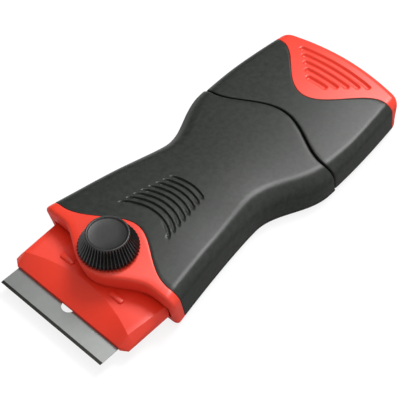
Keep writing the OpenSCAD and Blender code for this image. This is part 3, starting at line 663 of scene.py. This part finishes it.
PLAIN_BACK = back_places(steps=56)
GRIP_PLACES = columns(wall_steps=7, edge_steps=10, top_places=back_places(steps=120))
YOKE_PLACES = columns(wall_steps=7, edge_steps=10, top_places=PLAIN_BACK)
SOLE_PLACES = columns(wall_steps=2, edge_steps=7, top_places=PLAIN_BACK)
CAP_PLACES = closed_places(wall_steps=4, edge_steps=8, top_places=PLAIN_BACK)
TAB_PLACES = closed_places(wall_steps=4, edge_steps=8, top_places=back_places(steps=190))


def dig(p, depth):
    """A point lowered by a depth."""
    return p[0], p[1], p[2] - depth


def trough(offset, width, along, half, taper, lip):
    """Share of a groove's depth at an offset from its middle line, along is the place across the tool."""
    end = smooth((half - abs(along)) / taper)
    reach = width / 2 * mix(END_WIDTH, 1, end)
    return smooth((reach + lip - abs(offset)) / (2 * lip)) * end


def groove_depth(p):
    """How deep the arc grooves are at a point of the handle's back."""
    if abs(p[1]) >= GROOVE_FIRST_HALF:
        return 0
    back = seam_at(0.0, p[1]) - p[0]
    i = round((back - GROOVE_FIRST) / GROOVE_PITCH)
    if not 0 <= i < GROOVE_COUNT:
        return 0
    half = mix(GROOVE_FIRST_HALF, GROOVE_LAST_HALF, i / (GROOVE_COUNT - 1))
    slant = math.sqrt(1 - (p[1] / GROOVE_R) ** 2)
    offset = (back - GROOVE_FIRST - i * GROOVE_PITCH) * slant
    return GROOVE_DEEP * trough(offset, GROOVE_W, p[1], half, GROOVE_TAPER, LIP_W)


def slot_depth(p):
    """How deep the finger slots are at a point of the cap's tab."""
    d = REAR_BOW_R - math.hypot(p[0] - REAR_X - REAR_BOW_R, p[1])
    i = round((d - SLOT_FIRST) / SLOT_PITCH)
    if not 0 <= i < SLOT_COUNT:
        return 0
    half = mix(SLOT_LONG, SLOT_SHORT, i / (SLOT_COUNT - 1))
    offset = d - SLOT_FIRST - i * SLOT_PITCH
    return SLOT_DEEP * trough(offset, SLOT_W, p[1], half, SLOT_TAPER, SLOT_LIP_W)


# Handle
def handle_skin():
    """Soft skin over the handle, with its rounded seam edges and its eight arc grooves."""
    rear_steps, front_steps, inner_steps = 26, 8, 14
    reach = GROOVE_W / 2 + LIP_W
    last = GROOVE_FIRST + (GROOVE_COUNT - 1) * GROOVE_PITCH
    far = last + GROOVE_PITCH
    near = GROOVE_FIRST - GROOVE_LEAD * GROOVE_PITCH
    rear_setback = PARTING_EASE + PARTING_EDGE_R

    outer = [row(arch_point, GRIP_PLACES, "parting", "yoke", 0, e, PARTING_EASE + s)
             for s, e in reversed(rounding(PARTING_EDGE_R, steps=4))]
    for i in range(1, rear_steps + 1):
        u = i / rear_steps
        outer.append(row(arch_point, GRIP_PLACES, "parting", far, u, 0, rear_setback * (1 - u)))
    for i in range(GROOVE_COUNT - 1, -1, -1):
        middle = GROOVE_FIRST + i * GROOVE_PITCH
        for k in GROOVE_FIFTHS:
            line = middle + reach * k / 5
            plain = row(arch_point, GRIP_PLACES, line, line, 0)
            outer.append([dig(p, groove_depth(p)) if g[0] == "top" else p
                          for p, g in zip(plain, GRIP_PLACES)])
    for i in range(front_steps):
        u = i / front_steps
        outer.append(row(arch_point, GRIP_PLACES, near, "yoke", u, 0, -SKIN_EDGE_R * u))
    outer += [row(arch_point, GRIP_PLACES, "parting", "yoke", 1, e, -s)
              for s, e in rounding(SKIN_EDGE_R, steps=3)]
    inner = [row(arch_point, GRIP_PLACES, "parting", "yoke", i / inner_steps, SKIN_T)
             for i in range(inner_steps, 0, -1)]
    inner += [row(arch_point, GRIP_PLACES, "parting", "yoke", 0, e, s)
              for s, e in ((LAP_W, SKIN_T), (LAP_W, LAP_T), (PARTING_EASE, LAP_T))]
    piece = loft("handle_skin", outer + inner, "handle", SKIN)
    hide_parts("upper_grip")


def room_row(over, shift_x, seam_a, seam_b, u):
    """A section of the room inside the housing, under a row of its outside."""
    w = half_w(mix(seam_nominal(seam_a), seam_nominal(seam_b), u) + shift_x) - SKIN_T - WALL_T
    made = []
    for p, g in zip(over, YOKE_PLACES):
        y = clamp(p[1] * w / abs(over[1][1]), -w, w)
        z = mix(SEAM_Z, CEILING_Z, g[1]) if g[0] == "wall" else CEILING_Z
        x = mix(seam_at(seam_a, y), seam_at(seam_b, y), u) + shift_x - SEAM_LEAN * (DECK_H - z)
        made.append((x, y, z))
    return made


def housing():
    """Red housing: a core under the skin, the bare yoke round the knob and the room inside."""
    core_steps, yoke_steps, front_steps = 16, 14, 4
    core = [row(arch_point, YOKE_PLACES, "parting", "yoke", 0, SKIN_T, CORE_BACK)]
    core += [row(arch_point, YOKE_PLACES, "parting", "yoke", i / core_steps, SKIN_T)
             for i in range(1, core_steps + 1)]
    rear_edge = [row(arch_point, YOKE_PLACES, "yoke", "nose", 0, e, s)
                 for s, e in reversed(rounding(SEAM_EDGE_R, steps=3))]
    yoke = []
    for i in range(1, yoke_steps + 1):
        u = i / yoke_steps
        yoke.append(row(arch_point, YOKE_PLACES, "yoke", "nose", u, 0, mix(SEAM_EDGE_R, -NOSE_ROUND_R, u)))
    nose = [row(arch_point, YOKE_PLACES, "yoke", "nose", 1, e, -s)
            for s, e in rounding(NOSE_ROUND_R, steps=8)[1:]]
    front_room = room_row(nose[-1], 0, "nose", "nose", 0)
    front = between(nose[-1], front_room, front_steps)
    room = [room_row(core[-1], -ROOM_SETBACK, "yoke", "nose", 0)]
    for i in range(core_steps, -1, -1):
        u = i / core_steps
        room.append(room_row(core[-1], mix(CORE_BACK, -WALL_T, u), "parting", "yoke", u))
    rows = core + rear_edge + yoke + nose + front + [front_room] + room
    piece = loft("housing", rows, "handle", RED, sharp=RED_SHARP)
    cut(piece, [
        peg(KNOB_X, 0, STUD_HOLE_R, SEAM_Z, KNOB_TOP_Z),
        peg(KNOB_X, 0, WASHER_R + FIT_GAP, WASHER_Z, KNOB_TOP_Z),
        peg(KNOB_X, 0, RING_R + FIT_GAP, CEILING_Z - PAST, RING_TOP_Z + FIT_GAP),
    ], sharp=RED_SHARP)
    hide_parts("upper_housing")


def lid_row(outer):
    """The level row over a row of the sole's outside, no wider than its top edge."""
    made = []
    for p in outer:
        q = outer[0] if p[1] < outer[0][1] else outer[-1] if p[1] > outer[-1][1] else p
        made.append((q[0] + SEAM_LEAN * (SEAM_Z - q[2]), q[1], SEAM_Z))
    return made


def sole():
    """Red base plate, whose bare front lies under the yoke, and the skin under it."""
    plate_steps, bare_steps, skin_steps, inner_steps = 24, 6, 48, 14
    plate = [row(keel_point, SOLE_PLACES, "parting", "yoke", i / plate_steps, BASE_SKIN_T, -SOLE_SETBACK)
             for i in range(plate_steps + 1)]
    plate += [row(keel_point, SOLE_PLACES, "yoke", "sill", 0, e, s)
              for s, e in reversed(rounding(SEAM_EDGE_R, steps=2))]
    for i in range(1, bare_steps + 1):
        u = i / bare_steps
        plate.append(row(keel_point, SOLE_PLACES, "yoke", "sill", u, 0, mix(SEAM_EDGE_R, -NOSE_ROUND_R, u)))
    plate += [row(keel_point, SOLE_PLACES, "yoke", "sill", 1, 0, -s, e)
              for s, e in rounding(NOSE_ROUND_R, steps=8)[1:]]
    lid = [lid_row(r) for r in reversed(plate)]
    piece = loft("sole", plate + lid, "handle", RED, sharp=RED_SHARP)
    rear, front = SCREWS_REAR_X + SCREW_HEAD_R, SCREWS_FRONT_X - SCREW_HEAD_R
    spots = [(x, side * y) for x, y in ((rear, SCREW_REAR_Y), (front, SCREW_FRONT_Y)) for side in (-1, 1)]
    recesses = [peg(x, y, SCREW_RECESS_R, HOLE_BOTTOM, SCREW_RECESS_TOP) for x, y in spots]
    bores = [peg(x, y, SCREW_BORE_R, SCREW_BORE_Z, HOLE_TOP) for x, y in spots]
    cut(piece, recesses + bores, sharp=RED_SHARP)
    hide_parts("base")

    ends = rounding(SKIN_EDGE_R, steps=3)
    outer = [row(keel_point, SOLE_PLACES, "parting", "yoke", 0, e, s) for s, e in reversed(ends)]
    for i in range(1, skin_steps):
        u = i / skin_steps
        shift = mix(SKIN_EDGE_R, -SKIN_EDGE_R, u)
        outer.append(row(keel_point, SOLE_PLACES, "parting", "yoke", u, 0, shift))
    outer += [row(keel_point, SOLE_PLACES, "parting", "yoke", 1, e, -s) for s, e in ends]
    inner = [row(keel_point, SOLE_PLACES, "parting", "yoke", i / inner_steps, BASE_SKIN_T)
             for i in range(inner_steps, -1, -1)]
    skin = loft("sole_skin", outer + inner, "handle", SKIN)
    cut(skin, [peg(x, y, SCREW_SKIN_R, HOLE_BOTTOM, HOLE_TOP) for x, y in spots])
    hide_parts("base_grip")


# Cap
def cap_skin():
    """Soft skin round the cap, with a lap that closes the parting from inside."""
    outer_steps, inner_steps = 30, 10
    front_setback = -PARTING_GAP - PARTING_EDGE_R
    outer = [row(cap_point, CAP_PLACES, "parting", "tab", 0, e, -PARTING_GAP - s)
             for s, e in reversed(rounding(PARTING_EDGE_R, steps=4))]
    for i in range(1, outer_steps):
        u = i / outer_steps
        outer.append(row(cap_point, CAP_PLACES, "parting", "tab", u, 0, mix(front_setback, SKIN_EDGE_R, u)))
    outer += [row(cap_point, CAP_PLACES, "parting", "tab", 1, e, s)
              for s, e in rounding(SKIN_EDGE_R, steps=3)]
    inner = [row(cap_point, CAP_PLACES, "parting", "tab", i / inner_steps, SKIN_T)
             for i in range(inner_steps, 0, -1)]
    lap = ((-PARTING_GAP - LAP_W, SKIN_T), (-PARTING_GAP - LAP_W, LAP_T), (-PARTING_GAP, LAP_T))
    inner += [row(cap_point, CAP_PLACES, "parting", "tab", 0, e, s) for s, e in lap]
    skin = loft("cap_skin", outer + inner, "cap", SKIN, loop_columns=True)
    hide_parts("cap_grip")
    return skin


def pocket_row(under, x_of):
    """A row of the tray's pocket inside the cap, under a row of the core. x_of gives its place along X."""
    w = TRAY_HALF + POCKET_EASE
    made = []
    for p, g in zip(under, TAB_PLACES):
        y = clamp(p[1] * w / (half_w(PARTING_X) - EDGE_R - SKIN_T), -w, w)
        z = TRAY_Z if g[3] else CEILING_Z
        if g[0] == "wall":
            z = mix((TRAY_Z + CEILING_Z) / 2, z, g[1])
        made.append((x_of(y, z), y, z))
    return made


def cap_core():
    """Red core of the rear cap: the tray's pocket, the end tab with its finger slots and the rear face."""
    core_steps, tab_steps, front_steps = 10, 150, 3
    core = [row(cap_point, TAB_PLACES, "parting", "tab", 0, SKIN_T, -PARTING_GAP - CORE_BACK)]
    core += [row(cap_point, TAB_PLACES, "parting", "tab", i / core_steps, SKIN_T)
             for i in range(1, core_steps + 1)]
    tab = [row(cap_point, TAB_PLACES, "tab", "rear", 0, e, -s)
           for s, e in reversed(rounding(SEAM_EDGE_R, steps=3))]
    for i in range(1, tab_steps + 1):
        u = i / tab_steps
        plain = row(cap_point, TAB_PLACES, "tab", "rear", u, 0, mix(-SEAM_EDGE_R, REAR_ROUND_R, u))
        tab.append([dig(p, slot_depth(p)) if g[0] == "top" and not g[3] else p
                    for p, g in zip(plain, TAB_PLACES)])
    tab += [row(cap_point, TAB_PLACES, "tab", "rear", 1, e, s)
            for s, e in rounding(REAR_ROUND_R, steps=9)[1:]]
    rear_shares = (0.35, 0.7)
    rear = [[(x, y, mix(z, REAR_H / 2, u)) for x, y, z in tab[-1]] for u in rear_shares]
    spine = {g[:3]: p[:2] for p, g in zip(tab[-1], TAB_PLACES) if not g[3]}
    rear.append([(*spine[g[:3]], REAR_H / 2) for g in TAB_PLACES])

    def pocket_front_x(y, z):
        return seam_at("parting", y) - SEAM_LEAN * (DECK_H - z) - PARTING_GAP - CORE_BACK

    pocket_back = pocket_row(core[0], lambda y, z: TRAY_BACK_X - POCKET_EASE)
    pocket_front = pocket_row(core[0], pocket_front_x)
    front = between(pocket_front, core[0], front_steps)
    rows = [pocket_back, pocket_front] + front + core + tab + rear
    piece = loft("cap_core_shell", rows, "cap", RED,
                 loop_rows=False, loop_columns=True, sharp=RED_SHARP)
    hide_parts("cap_core")
    return piece


def cap():
    """The cap's skin and core, with the holes of the tray's screws through both."""
    skin = cap_skin()
    piece = cap_core()
    x = TRAY_SCREWS_X + TRAY_HEAD_R
    sides = [side * (TRAY_SCREWS_HALF - TRAY_HEAD_R) for side in (-1, 1)]
    cut(skin, [peg(x, y, TRAY_SKIN_R, HOLE_BOTTOM, TRAY_SKIN_TOP) for y in sides])
    recesses = [peg(x, y, TRAY_RECESS_R, HOLE_BOTTOM, TRAY_RECESS_TOP) for y in sides]
    bores = [peg(x, y, TRAY_BORE_R, TRAY_BORE_Z, HOLE_TOP) for y in sides]
    cut(piece, recesses + bores, sharp=RED_SHARP)


# Knob
def knob_profile(h):
    """Radius, height above the foot and share of the serrations' depth, from the socket to the dish."""
    foot_r, top_r = KNOB_FOOT_R, KNOB_TOP_R
    rim_r = top_r - KNOB_RIM_W
    dish_z = h - KNOB_DISH
    socket = [(3.9, 3.0, 0), (4.55, 3.0, 0), (4.62, 2.9, 0), (4.62, 0.15, 0), (4.75, 0, 0)]
    foot = [(foot_r - 0.75, 0, 0), (foot_r - 0.35, 0.06, 0.5), (foot_r - 0.08, 0.3, 1), (foot_r, 0.75, 1)]
    flank = [
        (foot_r - 0.3, 1.6, 1),
        (mix(foot_r, top_r, 0.45), 2.8, 1),
        (mix(foot_r, top_r, 0.72), 4.0, 1),
        (mix(foot_r, top_r, 0.93), 5.0, 0.9),
    ]
    shoulder = [
        (top_r + 0.03, 5.45, 0.5),
        (top_r - 0.08, 5.75, 0.12),
        (top_r - 0.24, 5.93, 0),
        (top_r - 0.45, h, 0),
    ]
    rim = [(rim_r + 0.15, h - 0.03, 0), (rim_r, h - 0.14, 0), (rim_r - 0.14, dish_z + 0.05, 0)]
    dish = [(rim_r - 0.35, dish_z, 0), (2.6, dish_z - 0.08, 0), (0.8, dish_z - 0.1, 0)]
    return socket + foot + flank + shoulder + rim + dish


def knob():
    """Tapered knob with rounded serrations, a raised rim and a bare, slightly dished top."""
    n = TEETH * POINTS_PER_TOOTH
    rows = []
    for r, z, share in knob_profile(KNOB_TOP_Z - KNOB_Z):
        made = []
        for i in range(n):
            a = 2 * math.pi * i / n
            ridge = 0.5 + 0.5 * math.cos(a * TEETH)
            q = r - TOOTH_DEEP * share * (1 - ridge)
            made.append((KNOB_X + q * math.cos(a), q * math.sin(a), KNOB_Z + z))
        rows.append(made)
    piece = loft("knob_cap", rows, "knob", KNOB, loop_rows=False, loop_columns=True,
                 caps=(0, len(rows) - 1), sharp=KNOB_SHARP)
    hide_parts("knob")


# Carrier
def head_rows(lip_z):
    """Sections of the carrier's head from side to side, each from its lower back over the lip to its top."""
    cut_x, shoulder_x = LIP_X - CORNER_CUT, LIP_X - CORNER_SHOULDER

    def side_row(y):
        return [(HEAD_BACK_X, y, JAW_FACE_Z), (cut_x, y, JAW_FACE_Z), (cut_x, y, lip_z - LIP_H / 2),
                (shoulder_x, y, lip_z), (HEAD_BACK_X, y, lip_z + LIP_H)]

    def mid_row(y):
        crease_x = LIP_X - mix(CREASE_MIDDLE, CREASE_SIDE, (y / HEAD_TOP_HALF) ** 2)
        return [(HEAD_BACK_X, y, JAW_FACE_Z), (LIP_X, y, JAW_FACE_Z), (LIP_X, y, lip_z),
                (crease_x, y, HEAD_TOP_Z), (HEAD_BACK_X, y * HEAD_BACK_HALF / HEAD_TOP_HALF, HEAD_TOP_Z)]

    middle = [mid_row(mix(-HEAD_TOP_HALF, HEAD_TOP_HALF, i / HEAD_STEPS)) for i in range(HEAD_STEPS + 1)]
    return [side_row(-HEAD_HALF)] + middle + [side_row(HEAD_HALF)]


def carrier():
    """Upper half of the blade carrier: sloped front behind a straight lip, top, ribs, ears and tail."""
    rows = head_rows(JAW_FACE_Z + BLADE_T + LIP_H)
    piece = loft("carrier", rows, "carrier", RED, loop_rows=False, loop_columns=True,
                 caps=(0, len(rows) - 1))
    overlap_x = HEAD_BACK_X + WALL_T
    ear_top = HEAD_TOP_Z - EAR_DROP
    cut(piece, [
        bar(TAIL_X, overlap_x, -TAIL_HALF, TAIL_HALF, TAIL_Z, HEAD_TOP_Z),
        bar(EAR_BACK_X, overlap_x, -EAR_HALF, -EAR_GAP, JAW_FACE_Z, ear_top),
        bar(EAR_BACK_X, overlap_x, EAR_GAP, EAR_HALF, JAW_FACE_Z, ear_top),
    ], join=True)
    below = JAW_FACE_Z - PAST
    seat_x, seat_top = EDGE_X - BLADE_SEAT_HALF, JAW_FACE_Z + BLADE_T + BLADE_SEAT_EASE
    nut_half = NUT_HALF + FIT_GAP
    cut(piece, [
        bar(seat_x, EDGE_X, -BLADE_SEAT_HALF, BLADE_SEAT_HALF, below, seat_top),
        bar(HEAD_BACK_X - PAST, CLAMP_FRONT_X + FIT_GAP, -EAR_GAP, EAR_GAP, below, TAIL_Z),
        bar(TAIL_X - PAST, NUT_FRONT_X + FIT_GAP, -nut_half, nut_half, TAIL_Z - PAST, HEAD_TOP_Z + PAST),
    ])
    soften(piece, CARRIER_EDGE_R, CARRIER_EDGE_TURN, segments=3)
    cut(piece, [rib(side * RIB_Y) for side in (-1, 1)], join=True)
    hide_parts("upper_jaw")


def rib(y):
    """A low rib with rounded ends and sloping flanks, to join to the carrier's top."""
    sides, nudge = 24, 1e-6
    angles = [2 * math.pi * i / sides for i in range(sides)]
    rows = []
    for lift, inset in RIB_LEVELS:
        r = RIB_R - inset
        rows.append([
            (RIB_X + r * math.cos(a), y + r * math.sin(a) + math.copysign(RIB_REACH, math.sin(a + nudge)),
             HEAD_TOP_Z + lift)
            for a in angles
        ])
    return solid(rows)


handle_skin()
housing()
sole()
cap()
knob()
carrier()

# The CAD nodes that stay, and what they are finished with
FINISH = {
    "housing_screws": PLATED, "knob_stud": PLATED, "knob_washer": PLATED, "retaining_ring": SPRING,
    "clamp_plate": PLATED, "clamp_nut": PLATED, "jaw_screws": PLATED, "tray_screws": PLATED,
    "blade": BLADE, "spare_blades": BLADE, "keeper_spring": SPRING, "catch_spring": SPRING,
    "lower_jaw": RED, "blade_tray": RED,
}
for name, finish in FINISH.items():
    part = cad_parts[name]
    part.data.materials.clear()
    part.data.materials.append(finish)


# Stage
def floor_paper():
    """Grey paper that lights the tool little and shows itself as white to the camera and in reflections."""
    paper_tone, glow_strength, glow_share = 0.45, 1.5, 0.55
    paint = bpy.data.materials.new("floor_paper")
    paint.use_nodes = True
    tree = paint.node_tree
    shader = tree.nodes["Principled BSDF"]
    shader.inputs["Base Color"].default_value = (paper_tone, paper_tone, paper_tone, 1)
    shader.inputs["Roughness"].default_value = 0.9
    shader.inputs["Specular IOR Level"].default_value = 0.0
    glow = add_node(tree, "ShaderNodeEmission", Strength=glow_strength)
    path = add_node(tree, "ShaderNodeLightPath")
    share = add_node(tree, "ShaderNodeMath", operation="MULTIPLY")
    share.inputs[1].default_value = glow_share
    blend = add_node(tree, "ShaderNodeMixShader")
    seen = path.outputs["Is Camera Ray"]
    for ray in ("Is Glossy Ray", "Is Transmission Ray"):
        either = add_node(tree, "ShaderNodeMath", operation="ADD", use_clamp=True)
        tree.links.new(seen, either.inputs[0])
        tree.links.new(path.outputs[ray], either.inputs[1])
        seen = either.outputs["Value"]
    tree.links.new(seen, share.inputs[0])
    tree.links.new(share.outputs["Value"], blend.inputs["Fac"])
    tree.links.new(shader.outputs["BSDF"], blend.inputs[1])
    tree.links.new(glow.outputs["Emission"], blend.inputs[2])
    tree.links.new(blend.outputs["Shader"], tree.nodes["Material Output"].inputs["Surface"])
    return paint


def floor():
    """A level floor under the tool."""
    half = 3000.0 * MM
    points = [(-half, -half, 0), (-half, half, 0), (half, half, 0), (half, -half, 0)]
    mesh = bpy.data.meshes.new("floor")
    mesh.from_pydata(points, [], [(0, 1, 2, 3)])
    made = bpy.data.objects.new("floor", mesh)
    bpy.context.collection.objects.link(made)
    made.data.materials.append(floor_paper())


def softbox(name, direction, distance, size, power):
    """A rectangular area lamp that looks at the tool from a direction, distance and size in metres."""
    data = bpy.data.lights.new(name, "AREA")
    data.shape = "RECTANGLE"
    data.size, data.size_y = size
    data.energy = power
    lamp = bpy.data.objects.new(name, data)
    bpy.context.collection.objects.link(lamp)
    way = Vector(direction).normalized()
    lamp.location = way * distance
    lamp.rotation_mode = "QUATERNION"
    lamp.rotation_quaternion = way.to_track_quat("Z", "Y")


def light():
    """A dim world, a compact lamp behind, a soft one overhead, a strip in front and a large one beside."""
    world_strength = 0.19
    world = bpy.data.worlds.new("studio")
    bpy.context.scene.world = world
    world.use_nodes = True
    back = world.node_tree.nodes["Background"]
    back.inputs["Color"].default_value = (1, 1, 1, 1)
    back.inputs["Strength"].default_value = world_strength
    softbox("key", (-0.54, -0.08, 0.84), distance=0.9, size=(0.36, 0.36), power=6.2)
    softbox("over", (-0.10, -0.02, 0.99), distance=0.9, size=(0.6, 0.6), power=2.3)
    softbox("front", (0.80, 0.20, 0.45), distance=1.2, size=(1.5, 0.35), power=2.4)
    softbox("fill", (-0.25, 0.85, 0.50), distance=1.2, size=(1.4, 1.0), power=4.2)


def camera():
    """The photograph's view, from a camera fitted to the tool's mirrored features."""
    azimuth, elevation = math.radians(132.78), math.radians(49.87)
    distance, focal_px, frame_px = 331.3, 1147.5, 400
    target = Vector((2.1, -2.1, -0.9)) * MM
    level = math.cos(elevation)
    back = Vector((math.sin(azimuth) * level, -math.cos(azimuth) * level, math.sin(elevation)))
    data = bpy.data.cameras.new("camera")
    data.sensor_width = 36.0
    data.lens = data.sensor_width * focal_px / frame_px
    data.clip_start, data.clip_end = 0.01, 20
    made = bpy.data.objects.new("camera", data)
    bpy.context.collection.objects.link(made)
    made.location = target + back * distance * MM
    made.rotation_mode = "QUATERNION"
    made.rotation_quaternion = (-back).to_track_quat("-Z", "Y")
    bpy.context.scene.camera = made


floor()
light()
camera()
bpy.context.scene.view_settings.view_transform = "Standard"
